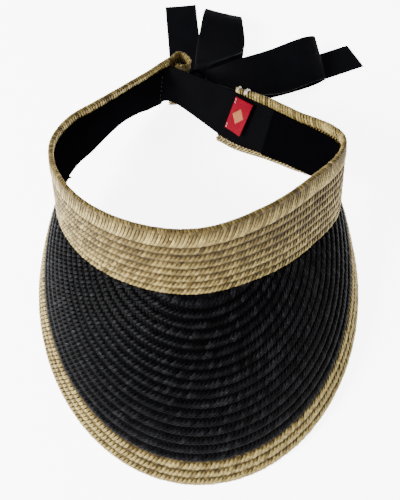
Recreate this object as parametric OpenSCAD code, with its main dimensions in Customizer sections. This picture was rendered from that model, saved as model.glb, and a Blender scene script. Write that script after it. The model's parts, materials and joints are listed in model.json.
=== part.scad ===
// Open-crown sun visor of sewn straw braid with an elastic rear strap and a ribbon bow.
// It lies on a table as it is put down: brim tip, rear of the headband and bow on the surface.
// +Z is up, the brim points along -Y, and the wearer's right arm of the headband is on +X.
// Headband and brim are drawn in the head frame: its origin is the middle of the head opening
// at the top rim, its Z runs out of the crown, and a bearing of 0 is the front, positive to +X.

/* [Headband] */
// Height of the straw headband along its face
band_h = 50; // [48:0.5:52]
// Thickness of one straw braid
braid_t = 1.4; // [1.2:0.1:1.5]
// Visible height of the wide binding braid, outside
binding_h = 12.2; // [11:0.2:14]
// Height of the binding braid folded down inside
binding_inside_h = 6; // [4:0.5:7]
// Number of narrow braid rows under the binding
band_rows = 7; // [6:8]
// How far the lower edge of a row stands proud of the next one
shingle = 0.4; // [0.2:0.1:0.5]

/* [Brim] */
// Number of black braid rows, the first next to the headband
brim_rows = 17; // [15:17]
// Number of natural trim rows, the last at the outer edge
trim_rows = 3; // [2:3]
// Width of one brim row
brim_pitch = 5.4; // [5.2:0.1:5.4]
// Half width of the ellipse that the outer edge follows
edge_half_w = 101.5; // [100:0.5:103]
// Half depth of that ellipse, measured in its own plane
edge_half_d = 119.5; // [118:0.5:121]
// Slope of the plane that the outer edge lies in
edge_slope = 25.3; // [24.8:0.1:25.8]
// Half of the angle that the domed brim turns through from edge to headband
dome_angle = 13.7; // [10:0.1:16]

/* [Lining and strap] */
// Height of the grosgrain sweatband
sweatband_h = 38.5; // [37.5:0.5:39]
// Thickness of the sweatband
sweatband_t = 0.8; // [0.6:0.1:0.9]
// Height of the elastic rear strap
strap_h = 38; // [36:0.5:39]
// Thickness of the elastic rear strap
strap_t = 0.9; // [0.8:0.1:1]

/* [Bow] */
// Thickness of both ribbons
ribbon_t = 0.8; // [0.6:0.1:0.8]

/* [Label] */
// Length of the woven label along its stitched edge
label_h = 27.5; // [26:0.5:30]
// Width of the woven label from stitched edge to free edge
label_w = 14; // [12:14]
// Thickness of the woven label
label_t = 0.6; // [0.5:0.1:0.6]
// How far the free edge stands off the strap
label_lift = 2; // [0.5:0.5:3]

/* [Hidden] */
// Plan of the outer face at the top rim: [bearing, radius]
plan = [[-168, 77.6], [-160, 70.6], [-150, 64.3], [-138, 61.2], [-122, 61.5], [-106, 67.4], [-92, 78.2],
        [-75, 87.4], [-50, 90.5], [-20, 90.5], [0, 89], [25, 82], [50, 81], [75, 89], [84, 85.5], [98, 63.5],
        [120, 49.8], [141, 45], [162, 46]];
// How far the headband leans outward at the bottom: [bearing, degrees]
lean = [[-168, 15.4], [-135, 23], [-90, 8], [-45, 3], [0, 3], [45, 10], [90, 4.5], [135, -4], [162, -2]];
// How far the sweatband's top edge lies below the rim: [bearing, distance]
sweatband_top = [[-168, 6.8], [-120, 7.2], [-90, 5.6], [0, 7], [84, 9], [98, 5.2], [162, 5]];
// Middle of the brim edge ellipse in the head frame
edge_mid_x = 1.5;
edge_mid_y = -54;
edge_mid_z = -82.3;

left_end = -167;        // bearing of the headband's left end
right_end = 141.5;      // bearing of its right end at the rim
end_slant = 19;         // how much further the right end reaches at the bottom, in bearing
bend = 84;              // bearing of the bend where the right arm starts
split = 0.2;            // half of the slit at the bend, in bearing
brim_left_end = -91;
brim_right_end = 83.5;
crease = 106;           // bearing where the sweatband on the right arm stops over the strap
tuck = 6;               // how far the strap runs on under each sweatband end, in bearing
strap_left = -155;      // bearing where the strap starts under the left sweatband

step_deg = 4;           // bearing between stations of a brim row
band_step = 3;          // bearing between stations of the headband
row_gap = 0.12;         // slit between neighbouring rows
layer_gap = 0.3;        // slit between straw, strap and sweatband
min_row = 0.9;          // width at which a brim row ends
row_pitch = (band_h - binding_h) / band_rows;
all_rows = brim_rows + trim_rows;
straw_depth = shingle + braid_t;
binding_depth = 2 * braid_t + 0.2;
lining_depth = binding_depth + layer_gap;
over_strap_depth = lining_depth + strap_t + layer_gap;

// Rest on the table: the head frame tips back and its origin stands over the table
rest_tilt = 18.5;
rest_height = 76.2;
rest_x = -18.4;
rest_y = 11.7;

straw = "#d8c497";
black = "#1c1c21";
ribbon_black = "#17181c";
red = "#c4113c";

BAND_NODES = concat(["band_binding"], [for (i = [1:band_rows]) str("band_row_", i)]);
ARM_NODES = concat(["arm_binding"], [for (i = [1:band_rows]) str("arm_row_", i)]);
BRIM_NODES = concat([for (i = [1:brim_rows]) str("brim_row_", i)], [for (i = [1:trim_rows]) str("trim_row_", i)]);

// ---- curves -------------------------------------------------------------------------------

// Index of the stretch of a [position, value] list that x lies on
function stretch(list, x, i = 0) = i >= len(list) - 2 || x <= list[i + 1][0] ? i : stretch(list, x, i + 1);

// Slope of a [position, value] list at its point i
function slope(list, i) = let (a = max(i - 1, 0), b = min(i + 1, len(list) - 1))
    (list[b][1] - list[a][1]) / (list[b][0] - list[a][0]);

// Smooth curve through a [position, value] list
function smooth(list, x) = let (i = stretch(list, x), w = list[i + 1][0] - list[i][0], u = (x - list[i][0]) / w)
    (2 * u ^ 3 - 3 * u ^ 2 + 1) * list[i][1] + (u ^ 3 - 2 * u ^ 2 + u) * w * slope(list, i)
    + (3 * u ^ 2 - 2 * u ^ 3) * list[i + 1][1] + (u ^ 3 - u ^ 2) * w * slope(list, i + 1);

// Smooth curve through points in space, with n steps from each point to the next
function through(p, n) = [for (i = [0:len(p) - 2], j = [0:n - 1]) between(p, i, j / n), p[len(p) - 1]];
function between(p, i, u) = let (a = p[max(i - 1, 0)], b = p[i], c = p[i + 1], d = p[min(i + 2, len(p) - 1)])
    0.5 * (2 * b + (c - a) * u + (2 * a - 5 * b + 4 * c - d) * u ^ 2 + (3 * b - a - 3 * c + d) * u ^ 3);

// Even steps from a to b, each no wider than width
function steps(a, b, width) = let (n = max(2, ceil(abs(b - a) / width))) [for (i = [0:n]) a + (b - a) * i / n];

function unit(v) = v / norm(v);
function polar(r, bearing, z) = [r * sin(bearing), -r * cos(bearing), z];

// ---- surfaces in the head frame -----------------------------------------------------------

// Point of the headband: h down its face from the rim, d inward from the outer face
function band_point(bearing, h, d) =
    let (r = smooth(plan, bearing), l = smooth(lean, bearing),
         turn = (smooth(plan, bearing + 0.5) - smooth(plan, bearing - 0.5)) * 180 / PI / r,
         k = sqrt(1 + turn ^ 2))
    polar(r + k * (h * sin(l) - d / cos(l)), bearing, -h * cos(l));

// The same on the right arm, whose end slants: it reaches further back at the bottom
function arm_point(bearing, h, d) =
    let (share = max(0, (bearing - bend) / (right_end - bend)))
    band_point(bearing + end_slant * share * h / band_h, h, d);

// Outer edge of the brim: where the plane at this bearing meets the tilted ellipse
function edge_point(bearing) =
    let (a = edge_half_w, b = edge_half_d * cos(edge_slope), s = sin(bearing), c = cos(bearing),
         qa = (s / a) ^ 2 + (c / b) ^ 2, qb = 2 * (c * edge_mid_y / b ^ 2 - s * edge_mid_x / a ^ 2),
         qc = (edge_mid_y / b) ^ 2 + (edge_mid_x / a) ^ 2 - 1,
         r = (sqrt(qb ^ 2 - 4 * qa * qc) - qb) / (2 * qa))
    [r * s, -r * c, edge_mid_z - (r * c + edge_mid_y) * tan(edge_slope)];

// Width of the brim along its dome at a bearing
function brim_width(bearing) =
    norm(edge_point(bearing) - band_point(bearing, band_h, 0)) * dome_angle * PI / 180 / sin(dome_angle);

// Point of the brim: s in from the outer edge along the dome, d down from the upper face
function brim_point(bearing, s, d) =
    let (e = edge_point(bearing), b = band_point(bearing, band_h, 0), u = unit(b - e),
         side = [cos(bearing), sin(bearing), 0], up = unit(cross(u, side)), n = up[2] < 0 ? -up : up,
         radius = norm(b - e) / (2 * sin(dome_angle)),
         phi = s / radius * 180 / PI - dome_angle)
    e + (radius * (sin(phi) + sin(dome_angle)) - d * sin(phi)) * u
      + (radius * (cos(phi) - cos(dome_angle)) - d * cos(phi)) * n;

// Bearing at which the brim is only just wide enough for a row that starts s in from the edge
function row_end(s, near, far, n = 24) =
    n == 0 ? near
    : let (mid = (near + far) / 2)
      brim_width(mid) > s + min_row ? row_end(s, mid, far, n - 1) : row_end(s, near, mid, n - 1);

// ---- solids -------------------------------------------------------------------------------

// Sum of a list of vectors, and the area vector of a flat outline
function sum(list) = [for (v = list) 1] * list;
function area(s) = sum([for (j = [1:len(s) - 2]) cross(s[j] - s[0], s[j + 1] - s[0])]);

// Closed solid through a list of sections, each with the same even number of corners; an end is closed
// by rungs between its first corners and its last
module strip(outlines) {
    m = len(outlines[0]);
    middle = floor(len(outlines) / 2);
    turned = area(outlines[middle]) * (sum(outlines[middle]) - sum(outlines[middle - 1])) < 0;
    sections = [for (s = outlines) turned ? [for (j = [m - 1:-1:0]) s[j]] : s];
    n = len(sections);
    sides = [for (i = [0:n - 2], j = [0:m - 1]) let (a = i * m + j, b = i * m + (j + 1) % m)
             each [[a, a + m, b + m], [a, b + m, b]]];
    rungs = [for (j = [0:m / 2 - 2]) each [[j, j + 1, m - 2 - j], [j, m - 2 - j, m - 1 - j]]];
    last = [for (r = rungs) [for (j = [2:-1:0]) (n - 1) * m + r[j]]];
    polyhedron([for (s = sections) each s], concat(sides, rungs, last), convexity = 10);
}

// Sections of a ribbon: stations of [point, half-width vector], in order along the ribbon
function ribbon(stations, t) =
    [for (i = [0:len(stations) - 1])
        let (p = stations[i][0], w = stations[i][1],
             along = stations[min(i + 1, len(stations) - 1)][0] - stations[max(i - 1, 0)][0],
             up = unit(cross(w, along)) * t / 2)
        [p - w + up, p + w + up, p + w - up, p - w - up]];

// Puts the head frame into its place over the table
module head_frame() {
    translate([rest_x, rest_y, rest_height]) rotate([-rest_tilt, 0, 0]) children();
}

// Puts the table frame's point under the head opening into its place
module table_frame() {
    translate([rest_x, rest_y, 0]) children();
}

// ---- headband -----------------------------------------------------------------------------

function binding_section(p) = [for (q = [
    [binding_h, 0], [0.8, 0], [0, 0.8], [0, binding_depth - 0.8], [0.8, binding_depth],
    [binding_inside_h, binding_depth], [binding_inside_h, binding_depth - braid_t],
    [braid_t, binding_depth - braid_t], [braid_t, braid_t], [binding_h, braid_t]]) p(q[0], q[1])];

function row_section(p, i) =
    let (a = binding_h + (i - 1) * row_pitch + row_gap, b = binding_h + i * row_pitch)
    [p(b, 0), p(a, shingle), p(a, straw_depth), p(b, braid_t)];

module band_binding() {
    color(straw) head_frame()
        strip([for (a = steps(left_end, bend - split, band_step))
            binding_section(function (h, d) band_point(a, h, d))]);
}

module band_row(i) {
    color(straw) head_frame()
        strip([for (a = steps(left_end, bend - split, band_step))
            row_section(function (h, d) band_point(a, h, d), i)]);
}

module arm_binding() {
    color(straw) head_frame()
        strip([for (a = steps(bend + split, right_end, band_step))
            binding_section(function (h, d) arm_point(a, h, d))]);
}

module arm_row(i) {
    color(straw) head_frame()
        strip([for (a = steps(bend + split, right_end, band_step))
            row_section(function (h, d) arm_point(a, h, d), i)]);
}

// The left end turns inward into a tunnel that stands along the end of the headband. The loop's route
// starts at the headband's end: [past the end, outward from the middle of the braid]
tunnel_route = [[1, 0.1], [3.8, 0.8], [6.8, 0.4], [8.9, -2], [9.3, -6], [7.8, -9.8], [4.4, -11.8], [0.4, -11.2],
                [-2.8, -9.2], [-4.6, -7]];
tunnel_wall = 1.4;
tunnel_taper = 0.42;  // share by which the loop is narrower at its foot

// Both faces of the tunnel at h down from the rim
function tunnel_faces(h) =
    let (narrow = 1 - tunnel_taper * h / band_h,
         e = band_point(left_end, h, binding_depth / 2), back = band_point(left_end + 6, h, binding_depth / 2),
         out = unit(e - back), outer = band_point(left_end, h, 0) - e, side = unit(outer - (outer * out) * out),
         line = through([for (q = tunnel_route) e + q[0] * out + q[1] * narrow * side], 3), n = len(line) - 1)
    [for (i = [0:n]) let (along = line[min(i + 1, n)] - line[max(i - 1, 0)],
                          off = unit(side * (along * out) - out * (along * side)) * tunnel_wall / 2)
        [line[i] + off, line[i] - off]];

module left_end_tunnel() {
    top = tunnel_faces(0);
    low = tunnel_faces(band_h);
    color(straw) head_frame() strip([for (i = [0:len(top) - 1]) [low[i][0], top[i][0], top[i][1], low[i][1]]]);
}

// ---- brim ---------------------------------------------------------------------------------

// Row i counts outward from the headband
module braid_row(i) {
    s = (all_rows - i) * brim_pitch;
    left = row_end(s, 0, brim_left_end);
    right = row_end(s, 0, brim_right_end);
    head_frame()
        strip([for (a = steps(left, right, step_deg))
            let (w = brim_width(a) - row_gap, e = i == 1 ? w : min(s + brim_pitch - row_gap, w))
            [brim_point(a, s, 0), brim_point(a, e, shingle), brim_point(a, e, straw_depth),
             brim_point(a, s, braid_t)]]);
}

module brim_row(i) {
    color(black) braid_row(i);
}

module trim_row(i) {
    color(straw) braid_row(brim_rows + i);
}

// ---- lining, strap and stitches -----------------------------------------------------------

function sweatband_section(p, bearing, d) = let (a = smooth(sweatband_top, bearing), b = a + sweatband_h)
    [p(b, d), p(a, d), p(a, d + sweatband_t), p(b, d + sweatband_t)];

// Depth of the sweatband: it climbs over the strap's tucked end
function ramp(x) = let (u = max(0, min(1, x))) u * u * (3 - 2 * u);
function sweatband_depth(climb) = lining_depth + (over_strap_depth - lining_depth) * ramp(climb);

module sweatband() {
    color(ribbon_black) head_frame()
        strip([for (a = steps(strap_left - tuck, bend - split, band_step))
            sweatband_section(function (h, d) band_point(a, h, d), a, sweatband_depth((strap_left + 8 - a) / 5))]);
}

module arm_sweatband() {
    color(ribbon_black) head_frame()
        strip([for (a = steps(bend + split, crease, band_step))
            sweatband_section(function (h, d) arm_point(a, h, d), a, sweatband_depth((a - crease + tuck + 6) / 5))]);
}

// The strap runs from under the left sweatband, across the gap and along the arm's end
strap_left_top = 7;     // under the sweatband
strap_turn_top = 1;   // past the tunnel
strap_right_top = [[94, 5.6], [106, 5.4], [141.5, 2.6]];  // along the right arm: [bearing, distance]
strap_turn = 17.5;      // how far inside the headband the strap passes the tunnel

// Route of one long edge of the strap: h down from its top edge, d from its outer face
function strap_edge(h, d) = through([
    for (a = steps(strap_left, strap_left - tuck - 2, 4)) band_point(a, strap_left_top + h, lining_depth + d),
    band_point(left_end - 2, strap_turn_top + h, strap_turn + d),
    for (a = steps(right_end, crease - tuck, 6)) arm_point(a, smooth(strap_right_top, a) + h, lining_depth + d)],
    3);

module rear_strap() {
    edges = [for (q = [[strap_h, 0], [0, 0], [0, strap_t], [strap_h, strap_t]]) strap_edge(q[0], q[1])];
    color(black) head_frame() strip([for (i = [0:len(edges[0]) - 1]) [for (e = edges) e[i]]]);
}

// A short straight stitch between two points, with a square section
module stitch(a, b, t = 0.5) {
    along = unit(b - a);
    s1 = unit(cross(along, abs(along[2]) > 0.9 ? [1, 0, 0] : [0, 0, 1])) * t / 2;
    s2 = unit(cross(along, s1)) * t / 2;
    strip([for (p = [a, b]) [p + s1 + s2, p + s1 - s2, p - s1 - s2, p - s1 + s2]]);
}

// A column of stitches that holds the left sweatband's end over the strap
module strap_stitches() {
    d = sweatband_depth(1) + sweatband_t + 0.5;
    color(black) head_frame() for (i = [0:7]) let (h = 10.5 + i * 5)
        stitch(band_point(strap_left - tuck + 1.5, h, d), band_point(strap_left - tuck + 1.5, h + 3, d));
}

// Bar tacks over the rim at the right end
module end_tacks() {
    color("white") head_frame() for (a = [right_end - 4, right_end - 12])
        strip([for (b = [a, a + 1.2, a + 2.4, a + 3.6]) [for (q = [
            [0.6, -0.1], [-0.15, 0.7], [-0.15, binding_depth - 0.7], [0.6, binding_depth + 0.1],
            [2.4, binding_depth + 0.1], [2.4, binding_depth + 0.7], [0.3, binding_depth + 0.7],
            [-0.75, binding_depth - 0.5], [-0.75, 0.5], [0.3, -0.7]]) arm_point(b, q[0], q[1])]]);
}

// ---- label --------------------------------------------------------------------------------

label_bearing = right_end - 3.5;
label_top = 4.6;
label_skew = 12;        // how far the label's top edge turns up toward the rim
label_depth = lining_depth + strap_t + 0.5;

// Place on the label: u across from the stitched edge, v down along it, w off its face
function label_place(u, v, w) =
    let (a = arm_point(label_bearing, label_top, label_depth),
         b = arm_point(label_bearing, label_top + label_h, label_depth),
         down = unit(b - a), c = arm_point(label_bearing - 12, label_top, label_depth),
         across0 = unit(c - a - ((c - a) * down) * down), off = unit(cross(down, across0)),
         off_in = off * (arm_point(label_bearing, label_top, label_depth + 1) - a) > 0 ? off : -off,
         lift = asin(label_lift / label_w), across = cos(lift) * across0 + sin(lift) * off_in,
         face = cos(lift) * off_in - sin(lift) * across0)
    a + u * across + (v - u * tan(label_skew)) * down + w * face;

module label_plate(corners, low, high) {
    head_frame() strip([for (w = [low, high]) [for (q = corners) label_place(q[0], q[1], w)]]);
}

module label() {
    color(red) label_plate([[0, 0], [label_w, 0], [label_w, label_h], [0, label_h]], 0, label_t);
}

// Plain woven lozenge on the label's face
module label_motif() {
    color("goldenrod") label_plate([[label_w / 2, label_h / 2 - 6.5], [label_w / 2 + 4.6, label_h / 2],
        [label_w / 2, label_h / 2 + 6.5], [label_w / 2 - 4.6, label_h / 2]], label_t + 0.02, label_t + 0.22);
}

module label_stitches() {
    color("ivory") head_frame() for (v = [1, 3.2, label_h - 5, label_h - 2.8])
        stitch(label_place(1, v, label_t + 0.35), label_place(1.6, v + 1.8, label_t + 0.35));
}

// ---- bow, in the table frame --------------------------------------------------------------

knot_at = [1, 59.4, 35.6];
knot_size = [13, 12, 17];

module bow_knot() {
    color(ribbon_black) table_frame() translate(knot_at) rotate([0, 0, -40])
        hull() for (x = [-1, 1], y = [-1, 1], z = [-1, 1])
            translate([x * (knot_size[0] / 2 - 3), y * (knot_size[1] / 2 - 3), z * (knot_size[2] / 2 - 3)])
                sphere(r = 3, $fn = 24);
}

// Each ribbon's route: [point on its middle line, half-width vector]
left_loop_route = [[[4, 70, 28], [5, 2, -1]], [[13, 88, 14], [12, 6, -2]], [[20.5, 108, 5], [17.6, 3, -1]],
                   [[22.5, 137, 4.5], [16.6, 1, -2.5]], [[23.5, 150, 12], [14.8, 1.5, -5]],
                   [[22, 138, 20], [16.1, 1, -6]], [[20, 108, 22], [18, 2, -8]], [[12, 87, 30], [12.5, 5, -5]],
                   [[4, 70, 40], [5, 2, -1]]];
left_tail_route = [[[-1, 69, 24], [5, 1, 0]], [[0, 77, 18.5], [5.5, 1, 0]], [[-5.5, 90, 9], [12.4, 1, 0]],
                   [[-8.2, 108, 3], [13.2, 1.4, 0]], [[-10.1, 130, 0.6], [13.2, 1.5, 0]],
                   [[-12, 151, 0.6], [13.2, 1.6, 0]], [[-13.6, 171, 0.6], [13.2, 1.6, 0]]];
right_loop_route = [[[11, 62, 28], [-2, 5, 1]], [[32, 74, 11], [-5, 13, 2]], [[60, 87, 4.5], [-5, 14.5, 1.5]],
                    [[88, 99, 3.5], [-4, 16, 2]], [[99.5, 105, 9], [-3.6, 17, 5]], [[88, 98, 15.5], [-4, 17, 6]],
                    [[60, 84, 18], [-5, 16.3, 5.4]], [[34, 71.5, 27], [-5, 13, 3.6]], [[11, 62, 39], [-2, 5, 1]]];
right_tail_route = [[[11, 64, 22], [-3, 5, 0]], [[30, 75, 8], [-4, 10, 0]], [[52, 84, 1.4], [-4.3, 11.5, 0]],
                    [[78, 94.5, 0.6], [-4.3, 11.5, 0]], [[105, 104.5, 0.6], [-4.3, 11.5, 0]],
                    [[131.5, 115, 0.6], [-5.3, 11, 0]]];

module ribbon_piece(route) {
    color(ribbon_black) table_frame() strip(ribbon(through(route, 4), ribbon_t));
}

module bow_left_loop() {
    ribbon_piece(left_loop_route);
}

module bow_left_tail() {
    ribbon_piece(left_tail_route);
}

module bow_right_loop() {
    ribbon_piece(right_loop_route);
}

module bow_right_tail() {
    ribbon_piece(right_tail_route);
}

// ---- assembly -----------------------------------------------------------------------------

band_binding();
for (i = [1:band_rows]) band_row(i);
arm_binding();
for (i = [1:band_rows]) arm_row(i);
for (i = [1:brim_rows]) brim_row(i);
for (i = [1:trim_rows]) trim_row(i);
left_end_tunnel();
sweatband();
arm_sweatband();
rear_strap();
strap_stitches();
end_tacks();
label();
label_motif();
label_stitches();
bow_knot();
bow_left_loop();
bow_left_tail();
bow_right_loop();
bow_right_tail();
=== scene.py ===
"""Sun visor of sewn straw braid with an elastic rear strap, a woven label and a tied ribbon bow.

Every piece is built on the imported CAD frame: braids are plaited along the CAD rows, ribbons, strap and
label are woven where their CAD solids lie. Lengths are in metres.
"""

import json
import math

import bpy
import numpy as np
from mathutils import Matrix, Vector


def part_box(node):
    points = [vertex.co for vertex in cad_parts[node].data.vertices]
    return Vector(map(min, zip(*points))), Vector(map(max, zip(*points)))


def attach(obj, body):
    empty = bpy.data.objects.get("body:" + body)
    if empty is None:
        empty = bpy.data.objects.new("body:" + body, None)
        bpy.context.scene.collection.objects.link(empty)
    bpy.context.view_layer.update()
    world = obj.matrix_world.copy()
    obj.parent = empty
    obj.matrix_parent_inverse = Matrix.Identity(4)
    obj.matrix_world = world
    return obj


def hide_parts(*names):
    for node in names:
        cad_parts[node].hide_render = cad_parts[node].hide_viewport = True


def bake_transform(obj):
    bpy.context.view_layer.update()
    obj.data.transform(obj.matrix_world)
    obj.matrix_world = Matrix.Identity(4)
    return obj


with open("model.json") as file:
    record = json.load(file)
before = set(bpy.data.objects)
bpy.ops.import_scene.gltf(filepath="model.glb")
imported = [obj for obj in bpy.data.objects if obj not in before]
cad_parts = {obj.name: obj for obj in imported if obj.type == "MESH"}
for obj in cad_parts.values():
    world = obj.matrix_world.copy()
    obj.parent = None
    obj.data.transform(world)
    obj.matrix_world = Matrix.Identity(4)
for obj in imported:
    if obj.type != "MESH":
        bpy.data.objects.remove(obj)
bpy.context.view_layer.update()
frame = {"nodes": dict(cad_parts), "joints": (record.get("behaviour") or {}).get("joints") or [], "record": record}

MM = 0.001

# ---- driving dimensions, the same as the CAD's -------------------------------------------------

BAND_H = 50 * MM          # headband height along its face
BINDING_H = 12.2 * MM     # binding braid outside
BINDING_INSIDE = 6 * MM   # binding braid folded down inside
BINDING_DEPTH = 3 * MM    # thickness of the folded rim
BAND_ROWS = 7
ROW_H = (BAND_H - BINDING_H) / BAND_ROWS
BRIM_ROWS, TRIM_ROWS = 17, 3
BRIM_PITCH = 5.4 * MM
DOME = math.radians(13.7)  # half of the angle that the brim's dome turns through
RIBBON_T = 0.7 * MM

ROOT, ARM, LABEL = "headband_and_brim", "right_arm", "label_flap"

# ---- the head frame ----------------------------------------------------------------------------

opening = next(m for m in frame["record"]["mounts"] if m["name"] == "head_opening")
CENTRE = np.array(opening["pos_m"], float)
UP = np.array(opening["axis"], float)
UP /= np.linalg.norm(UP)
RIGHT = np.array([1.0, 0.0, 0.0])
BACK = np.cross(UP, RIGHT)
HEAD = np.stack([RIGHT, BACK, UP])            # rows: the head frame's axes
TABLE = np.array([CENTRE[0], CENTRE[1], 0.0])  # the table point that the bow is laid out from


def to_head(points):
    return (np.asarray(points) - CENTRE) @ HEAD.T


def from_head(points):
    return np.asarray(points) @ HEAD + CENTRE


def joint(name):
    return next(j for j in frame["joints"] if j["name"] == name)


# ---- reading the CAD solids --------------------------------------------------------------------


def node_points(name):
    """A CAD node's own corners, each once."""
    mesh = frame["nodes"][name].data
    flat = np.empty(len(mesh.vertices) * 3, np.float32)
    mesh.vertices.foreach_get("co", flat)
    return np.unique(np.round(flat.reshape(-1, 3).astype(float), 6), axis=0)


def bearing(p):
    return np.degrees(np.arctan2(p[:, 0], -p[:, 1]))


def edge_line(name, part, pick="outer", unwrap=None):
    """One long edge of a strip-shaped node in the head frame, ordered by bearing: [bearing, point].

    part is "lower" or "upper"; of the two corners across the strip's thickness it takes the outer one
    or the middle of the two.
    """
    p = to_head(node_points(name))
    split = (p[:, 2].min() + p[:, 2].max()) / 2
    p = p[p[:, 2] < split] if part == "lower" else p[p[:, 2] >= split]
    b = bearing(p)
    if unwrap is not None:
        b = np.where(b > unwrap, b - 360, b)
    order = np.argsort(b)
    p, b = p[order], b[order]
    pairs, used = [], np.zeros(len(p), bool)
    for i in range(len(p)):
        if used[i]:
            continue
        gap = np.linalg.norm(p - p[i], axis=1)
        gap[used] = np.inf
        gap[i] = np.inf
        j = int(gap.argmin())
        used[i] = used[j] = True
        pairs.append((i, j))
    lines = []
    for i, j in pairs:
        outer = i if np.hypot(*p[i, :2]) > np.hypot(*p[j, :2]) else j
        point = p[outer] if pick == "outer" else (p[i] + p[j]) / 2
        lines.append([(b[i] + b[j]) / 2 if pick != "outer" else b[outer], *point])
    lines = np.array(lines)
    return lines[np.argsort(lines[:, 0])]


def finer(line, n):
    """Smooth curve through the rows of line, with n steps from each to the next."""
    a = np.vstack([2 * line[0] - line[1], line, 2 * line[-1] - line[-2]])
    u = np.arange(n) / n
    out = []
    for i in range(1, len(a) - 2):
        p0, p1, p2, p3 = a[i - 1], a[i], a[i + 1], a[i + 2]
        v = u[:, None]
        out.append(0.5 * (2 * p1 + (p2 - p0) * v + (2 * p0 - 5 * p1 + 4 * p2 - p3) * v**2
                          + (3 * p1 - p0 - 3 * p2 + p3) * v**3))
    return np.vstack(out + [line[-1:]])


def look_up(x, grid, values):
    """Rows of values at x, linear between the grid's places."""
    return np.stack([np.interp(x, grid, values[:, k]) for k in range(values.shape[1])], axis=-1)


def lengths(points):
    return np.concatenate([[0], np.cumsum(np.linalg.norm(np.diff(points, axis=0), axis=1))])


# ---- surfaces that braids lie on ---------------------------------------------------------------


class Band:
    """The headband's outer face: v runs down from the rim, w stands off outward."""

    def __init__(self, upper, lower, v_upper, v_lower, facing=None):
        self.upper, self.lower, self.v = upper, lower, (v_upper, v_lower)
        self.grid = np.linspace(0, 1, len(upper))
        middle = (upper + lower) / 2
        out = np.cross(lower - upper, np.gradient(middle, axis=0))
        out /= np.linalg.norm(out, axis=1)[:, None]
        if facing is not None and ((middle - facing) * out).sum() < 0:
            out = -out
        self.out = out

    def place(self, f, v, w):
        share = (v - self.v[0]) / (self.v[1] - self.v[0])
        a, b = look_up(f, self.grid, self.upper), look_up(f, self.grid, self.lower)
        n = look_up(f, self.grid, self.out)
        return a + (b - a) * share[..., None] + n * w[..., None]

    def along(self, v):
        """Distance along the face at v, at each place of the grid."""
        f = self.grid
        return lengths(self.place(f, np.full_like(f, v), np.zeros_like(f)))


class Brim:
    """The brim's upper face: v is minus the distance in from the outer edge, w stands off upward."""

    def __init__(self, edge, root):
        grid = np.linspace(edge[0, 0], edge[-1, 0], 700)
        self.grid = grid
        e, b = look_up(grid, edge[:, 0], edge[:, 1:]), look_up(grid, root[:, 0], root[:, 1:])
        chord = np.linalg.norm(b - e, axis=1)
        u = (b - e) / chord[:, None]
        side = np.stack([np.cos(np.radians(grid)), np.sin(np.radians(grid)), 0 * grid], axis=1)
        n = np.cross(u, side)
        n /= np.linalg.norm(n, axis=1)[:, None]
        n = np.where(n[:, 2:] < 0, -n, n)
        self.e, self.u, self.n = e, u, n
        self.radius = chord / (2 * math.sin(DOME))
        self.width = 2 * DOME * self.radius

    def place(self, f, v, w):
        e, u, n = (look_up(f, self.grid, x) for x in (self.e, self.u, self.n))
        radius = np.interp(f, self.grid, self.radius)
        s = np.minimum(-v, np.interp(f, self.grid, self.width) + 2.5 * MM)
        phi = s / radius - DOME
        sin, cos = np.sin(phi)[..., None], np.cos(phi)[..., None]
        r, stand = radius[..., None], w[..., None]
        inward = r * (sin + math.sin(DOME)) + stand * sin
        upward = r * (cos - math.cos(DOME)) + stand * cos
        return e + inward * u + upward * n

    def along(self, v):
        f = self.grid
        return lengths(self.place(f, np.full_like(f, v), np.zeros_like(f)))


# ---- meshes ------------------------------------------------------------------------------------


def make(name, parts, material, tone=None):
    """A smooth mesh object from a list of (points, quads)."""
    points, quads, start = [], [], 0
    for p, q in parts:
        points.append(p)
        quads.append(q + start)
        start += len(p)
    points, quads = np.vstack(points), np.vstack(quads)
    mesh = bpy.data.meshes.new(name)
    mesh.vertices.add(len(points))
    mesh.vertices.foreach_set("co", points.astype(np.float32).ravel())
    mesh.loops.add(quads.size)
    mesh.loops.foreach_set("vertex_index", quads.astype(np.int32).ravel())
    mesh.polygons.add(len(quads))
    mesh.polygons.foreach_set("loop_start", np.arange(0, quads.size, 4, dtype=np.int32))
    mesh.polygons.foreach_set("use_smooth", np.full(len(quads), True))
    mesh.update(calc_edges=True)
    mesh.validate()
    if tone is not None:
        attribute = mesh.attributes.new("tone", "FLOAT", "POINT")
        attribute.data.foreach_set("value", np.concatenate(tone).astype(np.float32))
    mesh.materials.append(material)
    obj = bpy.data.objects.new(name, mesh)
    bpy.context.scene.collection.objects.link(obj)
    return obj


def tube_sides(rings, corners):
    """Quads over rings of corners, open at both ends."""
    i, j = np.meshgrid(np.arange(rings - 1), np.arange(corners), indexing="ij")
    k = (j + 1) % corners
    here, there = i * corners, (i + 1) * corners
    return np.stack([here + j, here + k, there + k, there + j], axis=-1).reshape(-1, 4)


def tube_quads(rings, corners):
    """Quads over rings of corners, with both ends capped."""
    caps = []
    last = (rings - 1) * corners
    for c in range(1, corners - 2, 2):
        caps += [[0, c + 2, c + 1, c], [last, last + c, last + c + 1, last + c + 2]]
    return np.vstack([tube_sides(rings, corners), np.array(caps, int)])


def unit(v):
    return v / np.maximum(np.linalg.norm(v, axis=-1, keepdims=True), 1e-12)


def swept(path, normal, section, half_w, half_t):
    """A tube along path: section's corners are (across, up) in halves of the width and thickness."""
    along = unit(np.gradient(path, axis=0))
    across = unit(np.cross(along, normal))
    up = np.cross(across, along)
    half_w, half_t = np.broadcast_to(half_w, len(path)), np.broadcast_to(half_t, len(path))
    rings = (path[:, None] + across[:, None] * (section[None, :, :1] * half_w[:, None, None])
             + up[:, None] * (section[None, :, 1:] * half_t[:, None, None]))
    return rings.reshape(-1, 3), tube_quads(len(path), len(section))


ROUND = np.array([[math.cos(a), math.sin(a)] for a in np.linspace(0, 2 * math.pi, 6, endpoint=False)])
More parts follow.
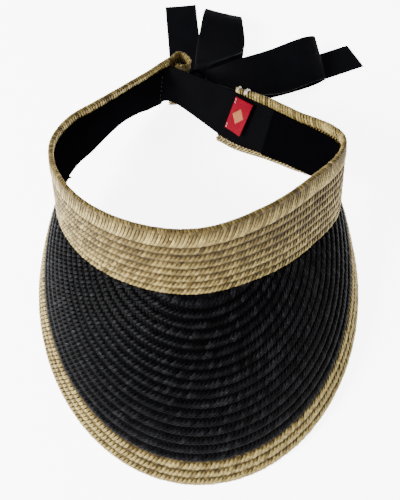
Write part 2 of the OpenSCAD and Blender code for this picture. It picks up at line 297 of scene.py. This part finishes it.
# A straw strand is a flat bundle with two ridges on its face
STRAND = np.array([[-1.0, -0.1], [-0.55, 0.85], [0.0, 0.42], [0.55, 0.85], [1.0, -0.1], [0.0, -0.8]])
# Painted shade and highlight: the edge corners of a strand's face are dark, its two ridges bright
STRAND_TONE = np.array([0.1, 1.0, 0.8, 1.0, 0.1])  # of the corners on its face
LOOSE_EVERY = 5 * MM  # spacing of the small random changes in a strand's height, width and tone


def thread(points, normal, radius=0.22 * MM):
    """A round sewing thread through a few points."""
    path = finer(np.asarray(points, float), 4)
    return swept(path, np.broadcast_to(normal, path.shape), ROUND, radius, radius)


def braid(face, v_top, v_low, depth, span, strands=5, stroke=2.5 * MM, segments=20, wide=1.1 * MM,
          thick=0.34 * MM, rise=0.36 * MM, shade=None, dim=1.0, seed=0):
    """Strands plaited along a face between v_top and v_low, from span[0] to span[1] along it.

    depth is how far the braid's middle lies under the face at v_top and at v_low. Each strand swings
    from edge to edge; it lies on top from an edge to the middle and dives under from there on. Its tone
    holds painted shade and highlight: raised parts and the beads at the lower edge are painted lighter,
    buried parts darker, and down to shade the braid is painted dark as shade where the row above covers
    it; dim scales its whole tone.
    """
    noise = np.random.default_rng(seed)
    v_mid, reach = (v_top + v_low) / 2, (v_low - v_top) / 2 - wide * 0.85
    cover = face.along(v_mid)
    period = stroke * strands
    n = max(8, int((span[1] - span[0]) / period * segments))
    l = np.linspace(span[0], span[1], n)
    parts, tones = [], []
    for k in range(strands):
        a = 2 * math.pi * (l / period + k / strands)
        v = v_mid + reach * np.cos(a)
        lift = np.sin(2 * a)
        places = 2 + int((l[-1] - l[0]) / LOOSE_EVERY)
        loose = np.interp(l, np.linspace(l[0], l[-1], places), noise.normal(0, 1, places))
        share = (v - v_top) / (v_low - v_top)
        w = -(depth[0] + (depth[1] - depth[0]) * share) + rise * lift + 0.05 * MM * loose
        f = np.interp(l, cover, face.grid)
        path = face.place(f, v, w)
        normal = unit(face.place(f, v, w + 0.2 * MM) - path)
        half = wide * (1 + 0.07 * loose)
        parts.append(swept(path, normal, STRAND, half, thick))
        # bead_highlight is a painted highlight on the beads along the braid's lower edge
        bead_highlight = np.clip((share - 0.8) / 0.2, 0, 1)
        plain = 0.52 + 0.12 * loose + noise.normal(0, 0.05)
        # Painted highlight and shade: the outer face is lighter where a strand stands up and darker where it
        # dives; back, the inner face, is shaded the other way round
        high, back = plain + 0.36 * lift + 0.2 * bead_highlight, plain - 0.3 * lift + 0.15
        # Painted shade on the part of the braid that the row above covers
        if shade is not None:
            high -= 0.55 * (1 - np.clip((v - shade) / (1.7 * MM), 0, 1))
        high, back = np.clip(dim * high, 0, 1), np.clip(dim * back, 0, 1)
        tones.append(np.hstack([high[:, None] * STRAND_TONE[None], back[:, None]]).ravel())
    return parts, tones


# ---- materials ---------------------------------------------------------------------------------


def material(name, rough, spec):
    m = bpy.data.materials.new(name)
    m.use_nodes = True
    bsdf = m.node_tree.nodes["Principled BSDF"]
    bsdf.inputs["Roughness"].default_value = rough
    bsdf.inputs["Specular IOR Level"].default_value = spec
    return m, m.node_tree, bsdf


def add(tree, kind, **values):
    node = tree.nodes.new(kind)
    for key, value in values.items():
        if key in node.inputs:
            node.inputs[key].default_value = value
        else:
            setattr(node, key, value)
    return node


def noise(tree, scale, detail=3.0, rough=0.6):
    where = add(tree, "ShaderNodeTexCoord")
    n = add(tree, "ShaderNodeTexNoise", Scale=scale, Detail=detail, Roughness=rough)
    tree.links.new(where.outputs["Object"], n.inputs["Vector"])
    return n.outputs["Fac"]


def ramp(tree, source, stops):
    r = add(tree, "ShaderNodeValToRGB")
    while len(r.color_ramp.elements) < len(stops):
        r.color_ramp.elements.new(0.5)
    for element, (at, colour) in zip(r.color_ramp.elements, stops):
        element.position = at
        element.color = (*colour, 1)
    tree.links.new(source, r.inputs["Fac"])
    return r.outputs["Color"]


def mixed(tree, share, a, b, how="MIX"):
    m = add(tree, "ShaderNodeMix", data_type="RGBA", blend_type=how)
    for value, socket in ((share, m.inputs[0]), (a, m.inputs[6]), (b, m.inputs[7])):
        if isinstance(value, (int, float)):
            socket.default_value = value
        elif isinstance(value, tuple):
            socket.default_value = (*value, 1)
        else:
            tree.links.new(value, socket)
    return m.outputs[2]


def bump(tree, bsdf, height, distance, strength=0.6):
    b = add(tree, "ShaderNodeBump", Strength=strength, Distance=distance)
    tree.links.new(height, b.inputs["Height"])
    tree.links.new(b.outputs["Normal"], bsdf.inputs["Normal"])


def rough_from(tree, bsdf, source, low, high):
    r = add(tree, "ShaderNodeMapRange")
    r.inputs["To Min"].default_value = low
    r.inputs["To Max"].default_value = high
    tree.links.new(source, r.inputs["Value"])
    tree.links.new(r.outputs["Result"], bsdf.inputs["Roughness"])


def straw_material(name, stops, patch, rough, spec, fibre_and_glint_share, painted_glint, scale):
    """Paper straw: tone runs from the buried to the raised parts of each strand, as painted shade and highlight,
    with worn patches. The grain's brightest specks are painted glints.
    """
    m, tree, bsdf = material(name, rough[0], spec)
    # tone, from the mesh, holds each strand's random tone together with its painted shade and highlight
    tone = add(tree, "ShaderNodeAttribute", attribute_name="tone").outputs["Fac"]
    colour = ramp(tree, tone, stops)
    patches = ramp(tree, noise(tree, 70, 4), [(0.40, (0, 0, 0)), (0.66, (0.8, 0.8, 0.8))])
    colour = mixed(tree, patches, colour, patch, "MULTIPLY")
    grain = noise(tree, scale, 5, 0.75)
    # The grain's ramp darkens and lightens the fibres; its top stop is a painted glint
    fibres_and_glints = ramp(tree, grain, [(0.36, (0.40, 0.37, 0.31)), (0.5, (0.95, 0.95, 0.93)), (0.6, (1.5, 1.5, 1.5)),
                                (0.7, (painted_glint, painted_glint, painted_glint))])
    colour = mixed(tree, fibre_and_glint_share, colour, mixed(tree, 1.0, colour, fibres_and_glints, "MULTIPLY"))
    tree.links.new(colour, bsdf.inputs["Base Color"])
    rough_from(tree, bsdf, grain, rough[0], rough[1])
    bump(tree, bsdf, grain, 0.12 * MM, 0.5)
    return m


def cloth_material(name, dark, light, rough, spec, scale=3200):
    """Woven cloth: its colour runs from dark to light over the weave, and it is worn in patches."""
    m, tree, bsdf = material(name, rough, spec)
    weave = noise(tree, scale, 2, 0.6)
    wear = noise(tree, 60, 3, 0.5)
    colour = ramp(tree, weave, [(0.3, dark), (0.72, light)])
    colour = mixed(tree, ramp(tree, wear, [(0.4, (0, 0, 0)), (0.7, (1, 1, 1))]), colour,
                   (0.82, 0.82, 0.84), "MULTIPLY")
    tree.links.new(colour, bsdf.inputs["Base Color"])
    rough_from(tree, bsdf, wear, rough - 0.06, rough + 0.06)
    bump(tree, bsdf, weave, 0.06 * MM, 0.35)
    return m


# These colours suit this stage only. They are set against its strongly glowing floor, and are far darker
# than the real straw and cloth; under ordinary light they need to be raised.
NATURAL = straw_material(
    "natural_straw",
    stops=[(0.0, (0.008, 0.0045, 0.0009)), (0.3, (0.030, 0.0195, 0.0048)), (0.6, (0.095, 0.066, 0.019)),
           (0.85, (0.215, 0.162, 0.055)), (1.0, (0.40, 0.32, 0.13))],
    patch=(0.84, 0.81, 0.72), rough=(0.5, 0.7), spec=0.1, fibre_and_glint_share=0.8, painted_glint=2.6, scale=620)
BLACK_STRAW = straw_material(
    "black_straw",
    stops=[(0.0, (0.0001, 0.0001, 0.0002)), (0.5, (0.0004, 0.0004, 0.0006)), (0.78, (0.0034, 0.0034, 0.0040)),
           (1.0, (0.0150, 0.0150, 0.0170))],
    patch=(0.8, 0.8, 0.85), rough=(0.3, 0.5), spec=0.03, fibre_and_glint_share=1.0, painted_glint=9.0, scale=950)
GROSGRAIN = cloth_material("grosgrain", (0.0004, 0.0004, 0.0005), (0.0014, 0.0014, 0.0018), 0.75, 0.0)
ELASTIC = cloth_material("elastic", (0.0010, 0.0010, 0.0012), (0.0030, 0.0030, 0.0036), 0.8, 0.0)
RIBBON = cloth_material("ribbon", (0.0010, 0.0010, 0.0014), (0.0030, 0.0031, 0.0042), 0.6, 0.01)
RED = cloth_material("label_red", (0.07, 0.0, 0.0030), (0.17, 0.0001, 0.0095), 0.7, 0.03, 2200)
GOLD = cloth_material("label_gold", (0.17, 0.055, 0.02), (0.30, 0.11, 0.045), 0.6, 0.1, 2600)
WHITE_THREAD = cloth_material("white_thread", (0.30, 0.26, 0.19), (0.66, 0.61, 0.52), 0.6, 0.1)
BLACK_THREAD = cloth_material("black_thread", (0.0008, 0.0008, 0.001), (0.004, 0.004, 0.005), 0.6, 0.05)

# ---- headband ----------------------------------------------------------------------------------

FINE = 8
V_ROW_1, V_ROW_7 = BINDING_H + ROW_H, BAND_H


def whole_edge(row):
    """The lower outer edge of a row, through the headband and on along the right arm."""
    return np.vstack([edge_line(f"band_row_{row}", "lower"), edge_line(f"arm_row_{row}", "lower")])


upper_edge, lower_edge = whole_edge(1), whole_edge(BAND_ROWS)
upper_line, lower_line = finer(upper_edge, FINE), finer(lower_edge, FINE)
band = Band(from_head(upper_line[:, 1:]), from_head(lower_line[:, 1:]), V_ROW_1, V_ROW_7, CENTRE - 0.03 * UP)


def split_lengths(face, v):
    """Where a row is divided in front, away from the bend, and its full length."""
    cover = face.along(v)
    return np.interp(np.interp(-8.0, upper_line[:, 0], face.grid), face.grid, cover), cover[-1]


def band_pieces(face, name, replaced, v_top, v_low, depth, **how):
    """A row as two pieces, left and right; the right one runs on along the arm."""
    front, end = split_lengths(face, (v_top + v_low) / 2)
    for side, span in (("left", (0.0, front)), ("right", (front, end))):
        parts, tones = braid(face, v_top, v_low, depth, span, **how)
        piece = make(f"{name}_{side}", parts, NATURAL, tones)
        if side == "left":
            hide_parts(replaced[0])
            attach(piece, ROOT)
        else:
            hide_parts(replaced[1])
            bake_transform(piece)


TUCK = 3.1 * MM  # how far a row runs on under the one above

for i in range(1, BAND_ROWS + 1):
    low = BINDING_H + i * ROW_H
    # shade= paints each row dark as shade down to the lower edge of the row above
    band_pieces(band, f"straw_row_{i}", (f"band_row_{i}", f"arm_row_{i}"), low - ROW_H - TUCK, low,
                (1.95 * MM, 0.45 * MM), shade=low - ROW_H, dim=0.9 + 0.25 * (i / BAND_ROWS) ** 2, seed=i)


class Rim(Band):
    """The binding's path: up the outer face, over the rim and down inside; v grows from the rim down
    outside, and is negative inside."""

    over = BINDING_DEPTH / 2  # radius of the fold over the rim

    def place(self, f, v, w):
        turn = math.pi * self.over
        side = np.where(v > 0, v, np.where(v > -turn, 0, -(v + turn)))
        angle = np.clip(-v / self.over, 0, math.pi)
        rise = (self.over + w) * np.sin(angle)
        stand = (self.over + w) * np.cos(angle) - self.over
        return super().place(f, side + self.over - rise, stand)


rim = Rim(band.upper, band.lower, V_ROW_1, V_ROW_7)
rim.out = band.out
band_pieces(rim, "binding", ("band_binding", "arm_binding"), -(BINDING_INSIDE + 4.0 * MM),
            BINDING_H - 1.4 * MM, (0.5 * MM, 0.5 * MM), strands=9, stroke=1.9 * MM, segments=44,
            wide=0.9 * MM, dim=1.05, seed=21)

# ---- brim --------------------------------------------------------------------------------------


def outermost(name):
    """The outer edge of a row as [bearing, point], one for each station of the CAD row."""
    points = to_head(node_points(name))
    bearings = np.round(bearing(points), 2)
    stations = []
    for b in np.unique(bearings):
        near = points[np.abs(bearings - b) < 0.3]
        best = near[np.hypot(near[:, 0], near[:, 1]).argmax()]
        if not stations or b - stations[-1][0] > 0.5:
            stations.append([float(bearing(best[None])[0]), *best])
    return np.array(stations)


outer_line = finer(outermost(f"trim_row_{TRIM_ROWS}"), FINE)
brim = Brim(outer_line, lower_line)
brim.e, brim.u, brim.n = brim.e @ HEAD + CENTRE, brim.u @ HEAD, brim.n @ HEAD

for i in range(1, BRIM_ROWS + TRIM_ROWS + 1):
    s = (BRIM_ROWS + TRIM_ROWS - i) * BRIM_PITCH
    wide_enough = brim.grid[brim.width > s + 0.9 * MM]
    cover = brim.along(-(s + (BRIM_PITCH + TUCK) / 2))
    span = np.interp([wide_enough[0], wide_enough[-1]], brim.grid, cover)
    top = -(s + BRIM_PITCH) if i > 1 else -(brim.width.max() + 1.5 * MM)
    black = i <= BRIM_ROWS
    depth, wide = (1.9 * MM, 1.14 * MM) if i > 1 else (0.6 * MM, 1.7 * MM)
    # shade= paints each row dark as shade where the next row in covers it
    parts, tones = braid(brim, top - TUCK, -s, (depth, 0.45 * MM), span, segments=18, wide=wide, shade=top,
                         dim=1 if black else 1.28, seed=40 + i)
    name = f"brim_row_{i}" if black else f"trim_row_{i - BRIM_ROWS}"
    piece = make(f"{name}_braid", parts, BLACK_STRAW if black else NATURAL,
                 tones)
    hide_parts(name)
    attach(piece, ROOT)

# ---- tunnel at the left end --------------------------------------------------------------------

# The loop's route from the headband's end: [past the end, outward from the middle of the braid]
TUNNEL_ROUTE = np.array([[-0.8, -0.1], [3.6, 0.8], [6.8, 0.4], [8.9, -2], [9.3, -6], [7.8, -9.8],
                         [4.4, -11.8], [0.4, -11.2], [-2.8, -9.2], [-4.6, -7]]) * MM
TUNNEL_WALL = 1.4 * MM
TUNNEL_TAPER = 0.42  # share by which the loop is narrower at its foot
TUNNEL_FOOT = BAND_H - 1.6 * MM  # where its lowest row ends, clear of the table


def tunnel_line(v):
    """The loop's outer face at v down from the rim."""
    f = np.array([0.0, np.interp(upper_line[0, 0] + 6, upper_line[:, 0], band.grid)])
    end, back = band.place(f, np.full(2, v), np.full(2, -BINDING_DEPTH / 2))
    out = unit(end - back)
    side = band.place(f[:1], np.array([v]), np.zeros(1))[0] - end
    side = unit(side - (side @ out) * out)
    narrow = 1 - TUNNEL_TAPER * v / BAND_H
    line = finer(end + TUNNEL_ROUTE[:, :1] * out + TUNNEL_ROUTE[:, 1:] * narrow * side, 8)
    along = np.gradient(line, axis=0)
    away = unit(np.outer(along @ out, side) - np.outer(along @ side, out))
    return line + away * TUNNEL_WALL / 2, line


outer_top, middle_top = tunnel_line(0.0)
outer_low, _ = tunnel_line(BAND_H)
tunnel = Rim(outer_top, outer_low, 0.0, BAND_H)
tunnel.over = TUNNEL_WALL / 2
if ((outer_top - middle_top) * tunnel.out).sum() < 0:
    tunnel.out = -tunnel.out
tunnel_parts, tunnel_tones = [], []
for i in range(BAND_ROWS + 1):
    low = min(BINDING_H + i * ROW_H, TUNNEL_FOOT)
    how = {"strands": 3, "stroke": 2.2 * MM, "segments": 15, "wide": 0.95 * MM, "rise": 0.25 * MM}
    if i:
        more = braid(tunnel, low - ROW_H - 0.8 * MM, low, (0.9 * MM, 0.55 * MM),
                     (0.0, tunnel.along(low - ROW_H / 2)[-1]), dim=0.8, seed=80 + i, **how)
    else:
        how["segments"], how["strands"] = 40, 7
        more = braid(tunnel, -9 * MM, low, (0.35 * MM, 0.35 * MM), (0.0, tunnel.along(3 * MM)[-1]),
                     seed=80, **how)
    tunnel_parts += more[0]
    tunnel_tones += more[1]
piece = make("tunnel_braid", tunnel_parts, NATURAL, tunnel_tones)
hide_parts("left_end_tunnel")
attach(piece, ROOT)

# ---- woven strips: sweatband, strap and ribbons ------------------------------------------------


def strip_solid(centre, normal, half_t):
    """A closed strip from a grid of points (stations, columns): two faces and a rim."""
    m, c = centre.shape[:2]
    top, bottom = centre + normal * half_t[..., None], centre - normal * half_t[..., None]
    rings = np.concatenate([top, bottom[:, ::-1]], axis=1)
    quads = tube_sides(m, 2 * c)[:, ::-1]
    caps = []
    for at in (0, (m - 1) * 2 * c):
        for j in range(c - 1):
            q = [at + j, at + j + 1, at + 2 * c - 2 - j, at + 2 * c - 1 - j]
            caps.append(q if at else q[::-1])
    return rings.reshape(-1, 3), np.vstack([quads, np.array(caps, int)])


def woven(edge_a, edge_b, thickness, rib, columns=14, depth=0.09 * MM, selvedge=1.1 * MM, cords=0, waves=0.0,
          crown=0.0, seed=0):
    """A ribbed strip between two edges: ribs cross it, and a plain selvedge runs along both edges."""
    middle = (edge_a + edge_b) / 2
    l = lengths(middle)
    samples = max(12, int(l[-1] / rib * 4.5))
    at = np.linspace(0, l[-1], samples)
    a, b = look_up(at, l, edge_a), look_up(at, l, edge_b)
    width = float(np.linalg.norm(a - b, axis=1).mean())
    inset = min(0.3, selvedge / width)
    across = np.concatenate([[0, inset * 0.5, inset], np.linspace(inset, 1 - inset, columns)[1:-1],
                             [1 - inset, 1 - inset * 0.5, 1]])
    grid = a[:, None] + (b - a)[:, None] * across[None, :, None]
    normal = unit(np.cross(np.gradient(grid, axis=0), (b - a)[:, None] + 0 * grid))
    rnd = np.random.default_rng(seed)
    shift = rnd.uniform(0, 6.28, 3)
    x = (2 * across - 1)[None]
    wave = waves * (0.6 * np.sin(at / (17 * MM) + shift[0])[:, None] * x
                    + 0.4 * np.sin(at / (9 * MM) + shift[1])[:, None] * (x**2 - 0.3))
    grid = grid + normal * (wave + crown * (1 - x**2))[..., None]
    inside = ((across > inset * 0.75) & (across < 1 - inset * 0.75)).astype(float)[None]
    ribs = depth * (np.cos(2 * math.pi * at / rib)[:, None] * inside + 0.25 * (1 - inside))
    if cords:
        ribs = ribs + depth * 0.8 * np.abs(np.sin(math.pi * cords * across))[None]
    return strip_solid(grid, normal, thickness / 2 - depth + ribs + 0 * across[None])


def head_strip(name, unwrap=None):
    top = edge_line(name, "upper", "middle", unwrap)
    low = edge_line(name, "lower", "middle", unwrap)
    return top, low


def joined(*names):
    tops, lows = zip(*(head_strip(n) for n in names))
    return np.vstack(tops), np.vstack(lows)


sweat_top, sweat_low = joined("sweatband", "arm_sweatband")
cut = int(np.searchsorted(sweat_top[:, 0], -8))
for side, rows in (("left", slice(0, cut + 1)), ("right", slice(cut, None))):
    parts = [woven(from_head(finer(sweat_top[rows, 1:], 4)), from_head(finer(sweat_low[rows, 1:], 4)),
                   0.75 * MM, 0.95 * MM, seed=5)]
    piece = make(f"sweatband_{side}", parts, GROSGRAIN)
    if side == "left":
        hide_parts("sweatband")
        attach(piece, ROOT)
    else:
        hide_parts("arm_sweatband")
        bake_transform(piece)

strap_top, strap_low = head_strip("rear_strap", unwrap=0)
strap = [woven(from_head(finer(strap_top[:, 1:], 3)), from_head(finer(strap_low[:, 1:], 3)), 0.85 * MM,
               0.9 * MM, columns=34, cords=16, depth=0.07 * MM, seed=6)]
piece = make("elastic_strap", strap, ELASTIC)
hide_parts("rear_strap")
arm_end = band.place(np.array([1.0]), np.array([25 * MM]), np.array([-3.5 * MM]))[0]
knot = np.array(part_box("bow_knot")).mean(axis=0)
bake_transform(piece)

# ---- stitches ----------------------------------------------------------------------------------

p = to_head(node_points("strap_stitches"))
p = p[np.argsort(p[:, 2])].reshape(-1, 4, 3).mean(axis=1)
parts = []
for low, high in zip(p[0::2], p[1::2]):
    middle = (low + high) / 2
    inward = -unit(np.array([middle[0], middle[1], 0.0]))
    parts.append(thread(from_head([low - 0.25 * MM * inward, low * 0.75 + high * 0.25 + 0.15 * MM * inward,
                                   low * 0.25 + high * 0.75 + 0.15 * MM * inward, high - 0.25 * MM * inward]),
                        inward @ HEAD))
piece = make("strap_end_stitches", parts, BLACK_THREAD)
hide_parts("strap_stitches")
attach(piece, ROOT)

cover = band.along(2 * MM)
parts = []
for centre, count in ((1.4 * MM, 3), (7.4 * MM, 5)):
    for k in range(count):
        at = cover[-1] - centre + (k - count / 2) * 0.4 * MM
        sway = 0.0009 * np.array([0, 0, 0, 1, 1, 1, 0, 0, 0]) * (-1) ** k
        f = np.full(9, np.interp(at, cover, band.grid)) + sway
        v = np.array([3.2, 2.0, 0.7, -0.2, -0.5, -0.2, 0.7, 1.8, 2.8]) * MM
        w = np.array([-0.25, 0.28, 0.3, 0.0, -1.5, -3.0, -3.35, -3.3, -2.8]) * MM
        path = band.place(f, v, w)
        parts.append(thread(path, np.array([0.0, 1.0, 0.0]), 0.21 * MM))
piece = make("bar_tacks", parts, WHITE_THREAD)
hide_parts("end_tacks")
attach(piece, ARM)

# ---- label -------------------------------------------------------------------------------------

lift = joint("label_lifts")
down = unit(np.array(lift["axis"], float))
origin = np.array(lift["pos_m"], float)
plate = node_points("label")
rel = plate - origin
drop = rel @ down
flat = rel - drop[:, None] * down
free_edge = np.linalg.norm(flat, axis=1) > 5 * MM
label_h = np.ptp(drop[free_edge])
across = unit(flat[free_edge].mean(axis=0))
face = unit(np.cross(across, down))
if (plate.mean(axis=0) - origin) @ face < 0:
    face = -face
label_w = (rel @ across).max()
skew = (drop[free_edge].min() - drop[~free_edge].min()) / label_w  # the free edge sits higher


def on_label(u, v, w):
    v = v + skew * u
    return origin + np.multiply.outer(u, across) + np.multiply.outer(v, down) + np.multiply.outer(w, face)


U, V = np.meshgrid(np.linspace(0.2 * MM, label_w - 0.2 * MM, 40),
                   np.linspace(0.2 * MM, label_h - 0.2 * MM, 96), indexing="ij")
sag = (0.35 * MM * np.sin(math.pi * V / label_h) + 1.5 * MM * (V / label_h) ** 4) * (U / label_w) ** 2
curl = on_label(U, V, 0.3 * MM + sag)
weft = 0.05 * MM * np.cos(2 * math.pi * V / (1.15 * MM)) * np.cos(2 * math.pi * U / (1.4 * MM))
near_edge = np.minimum(np.minimum(U, label_w - U), np.minimum(V, label_h - V))
half = 0.24 * MM + weft + 0.06 * MM * (near_edge < 1.4 * MM)
points, quads = strip_solid(curl, np.broadcast_to(face, curl.shape), half)
piece = make("woven_label", [(points, quads)], RED)
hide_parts("label")
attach(piece, LABEL)

# A plain lozenge in satin stitch
parts = []
half_w, half_h = 4.6 * MM, 6.5 * MM
for v in np.arange(-half_h + 0.3 * MM, half_h, 0.42 * MM):
    reach = half_w * (1 - abs(v) / half_h)
    u = label_w / 2 + np.linspace(-reach, reach, 5)
    depth_sag = 0.35 * MM * np.sin(math.pi * (label_h / 2 + v) / label_h) * (u / label_w) ** 2
    w = 0.58 * MM + depth_sag + 0.1 * MM * np.array([-1.6, 0.6, 1, 0.6, -1.6])
    path = np.array([on_label(a, label_h / 2 + v, b) for a, b in zip(u, w)])
    parts.append(thread(path, face, 0.23 * MM))
piece = make("label_lozenge", parts, GOLD)
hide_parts("label_motif")
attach(piece, LABEL)

parts = []
for v in (1.0, 3.2, label_h / MM - 5.0, label_h / MM - 2.8):
    path = [on_label(a * MM, (v + b) * MM, c * MM) for a, b, c in
            ((0.9, 0.0, 0.45), (1.1, 0.5, 0.85), (1.4, 1.3, 0.85), (1.6, 1.8, 0.45))]
    parts.append(thread(path, face, 0.15 * MM))
piece = make("label_threads", parts, WHITE_THREAD)
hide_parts("label_stitches")
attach(piece, LABEL)

# ---- bow ---------------------------------------------------------------------------------------

# Each ribbon's route from inside the knot, in millimetres from the table point under the head
# opening: [point on its middle line, half-width vector]
LEFT_LOOP = [[[2, 62, 31], [2, 1, -4]], [[4, 70, 28], [5, 2, -1]], [[13, 88, 14], [12, 6, -2]],
             [[20.5, 108, 5], [17.6, 3, -1]], [[22.5, 137, 4.5], [16.6, 1, -2.5]],
             [[23.5, 150, 12], [14.8, 1.5, -5]], [[22, 138, 20], [16.1, 1, -6]],
             [[20, 108, 22], [18, 2, -8]], [[12, 87, 30], [12.5, 5, -5]],
             [[4, 70, 40], [5, 2, -1]], [[1.5, 62, 39], [3, 1, -3]]]
LEFT_TAIL = [[[0, 62, 28], [3, 1, 0]], [[-1, 69, 24], [5, 1, 0]], [[0, 77, 18.5], [5.5, 1, 0]],
             [[-5.5, 90, 9], [12.4, 1, 0]], [[-8.2, 108, 3], [13.2, 1.4, 0]],
             [[-10.1, 130, 0.6], [13.2, 1.5, 0]], [[-12, 151, 0.6], [13.2, 1.6, 0]],
             [[-13.6, 171, 0.6], [13.2, 1.6, 0]]]
RIGHT_LOOP = [[[4, 60, 32], [-1, 2, 4]], [[11, 62, 28], [-2, 5, 1]], [[32, 74, 11], [-5, 13, 2]],
              [[60, 87, 4.5], [-5, 14.5, 1.5]], [[88, 99, 3.5], [-4, 16, 2]], [[99.5, 105, 9], [-3.6, 17, 5]],
              [[88, 98, 15.5], [-4, 17, 6]], [[60, 84, 18], [-5, 16.3, 5.4]], [[34, 71.5, 27], [-5, 13, 3.6]],
              [[11, 62, 39], [-2, 5, 1]], [[4, 60, 38], [-1, 3, 2]]]
RIGHT_TAIL = [[[4, 61, 27], [-1, 3, 1]], [[11, 64, 22], [-3, 5, 0]], [[30, 75, 8], [-4, 10, 0]],
              [[52, 84, 1.4], [-4.3, 11.5, 0]], [[78, 94.5, 0.6], [-4.3, 11.5, 0]],
              [[105, 104.5, 0.6], [-4.3, 11.5, 0]], [[131.5, 115, 0.6], [-5.3, 11, 0]]]


def ribbon(name, route, node, waves, crown, seed):
    line = np.array([[*p, *w] for p, w in route], float) * MM
    line = finer(line, 10)
    middle, half = line[:, :3] + TABLE, line[:, 3:]
    parts = [woven(middle - half, middle + half, RIBBON_T, 1.0 * MM, columns=16, depth=0.08 * MM,
                   waves=waves, crown=crown, seed=seed)]
    piece = make(name, parts, RIBBON)
    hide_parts(node)
    length = float(lengths(middle)[-1])
    area = float((2 * np.linalg.norm(half, axis=1)[1:] * np.diff(lengths(middle))).sum())
    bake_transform(piece)


# The knot: a pleated wrap round the gathered middle of the bow
turn = np.linspace(0, 2 * math.pi * 1.06, 90)
knot_turn = math.radians(-40)
ring = np.stack([6.1 * MM * np.cos(turn), 5.6 * MM * np.sin(turn), 0.35 * MM * turn], axis=1)
spin = np.array([[math.cos(knot_turn), math.sin(knot_turn), 0],
                 [-math.sin(knot_turn), math.cos(knot_turn), 0], [0, 0, 1]])
ring = ring @ spin + knot - np.array([0, 0, 1.0 * MM])
half = np.array([0.0, 0.0, 7.6 * MM])
parts = [woven(ring - half, ring + half, RIBBON_T, 1.0 * MM, columns=18, depth=0.08 * MM, crown=0.9 * MM,
               seed=3)]
core = np.array([[0, 0, -7], [0.5, 0.2, -3], [-0.4, 0.3, 2], [0.3, -0.3, 6.5]]) * MM + knot
parts.append(swept(finer(core, 6), np.broadcast_to([0.0, 1.0, 0.0], (19, 3)), ROUND, 4.6 * MM, 4.0 * MM))
piece = make("bow_knot_wrap", parts, RIBBON)
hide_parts("bow_knot")
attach(piece, ROOT)

ribbon("left_loop", LEFT_LOOP, "bow_left_loop", 0.9 * MM, -0.6 * MM, 31)
ribbon("left_tail", LEFT_TAIL, "bow_left_tail", 0.25 * MM, 0.1 * MM, 32)
ribbon("right_loop", RIGHT_LOOP, "bow_right_loop", 0.9 * MM, -0.6 * MM, 33)
ribbon("right_tail", RIGHT_TAIL, "bow_right_tail", 0.25 * MM, 0.1 * MM, 34)

# ---- stage, light and camera -------------------------------------------------------------------


def area_light(name, place, aim, size, power):
    light = bpy.data.lights.new(name, "AREA")
    light.shape = "DISK"
    light.size = size
    light.energy = power
    obj = bpy.data.objects.new(name, light)
    obj.location = place
    obj.rotation_euler = (Vector(aim) - Vector(place)).to_track_quat("-Z", "Y").to_euler()
    bpy.context.scene.collection.objects.link(obj)


floor_mesh = bpy.data.meshes.new("floor")
REACH = 3.0
floor_mesh.from_pydata([(-REACH, -REACH, 0), (REACH, -REACH, 0), (REACH, REACH, 0), (-REACH, REACH, 0)], [],
                       [(0, 1, 2, 3)])
floor_look, floor_tree, floor_bsdf = material("floor", 0.9, 0.1)
floor_bsdf.inputs["Base Color"].default_value = (0.93, 0.93, 0.93, 1)
floor_bsdf.inputs["Emission Color"].default_value = (1, 1, 1, 1)
floor_bsdf.inputs["Emission Strength"].default_value = 6.5
floor_mesh.materials.append(floor_look)
floor = bpy.data.objects.new("floor", floor_mesh)
bpy.context.scene.collection.objects.link(floor)

area_light("key", (-0.95, -0.4, 0.75), (0, -0.02, 0.04), 0.5, 50)
area_light("fill", (0.8, -0.35, 0.7), (0, 0, 0.03), 0.9, 1)
area_light("back", (0.1, 0.9, 0.8), (0, 0, 0.03), 0.9, 8)
world = bpy.data.worlds.new("studio")
world.use_nodes = True
world.node_tree.nodes["Background"].inputs["Color"].default_value = (1, 1, 1, 1)
world.node_tree.nodes["Background"].inputs["Strength"].default_value = 0.7
bpy.context.scene.world = world

# The camera stands in front of the brim's left of centre and looks down into the opening; it is placed
# in the head frame and keeps level.
PITCH = math.radians(44.87)
TARGET = np.array([0.0, -32.79, -30.0]) * MM
DISTANCE = 312.46 * MM
forward = np.array([0.0, math.cos(PITCH), -math.sin(PITCH)])
eye = from_head(TARGET - forward * DISTANCE)
look = forward @ HEAD
camera_data = bpy.data.cameras.new("camera")
camera_data.sensor_width = 36.0
camera_data.lens = 37.745
camera_data.shift_x = 0.0077
camera_data.shift_y = -0.1144
camera_data.clip_start = 0.01
camera = bpy.data.objects.new("camera", camera_data)
camera.location = eye
camera.rotation_euler = Vector(look).to_track_quat("-Z", "Y").to_euler()
bpy.context.scene.collection.objects.link(camera)
bpy.context.scene.camera = camera

bpy.context.view_layer.update()
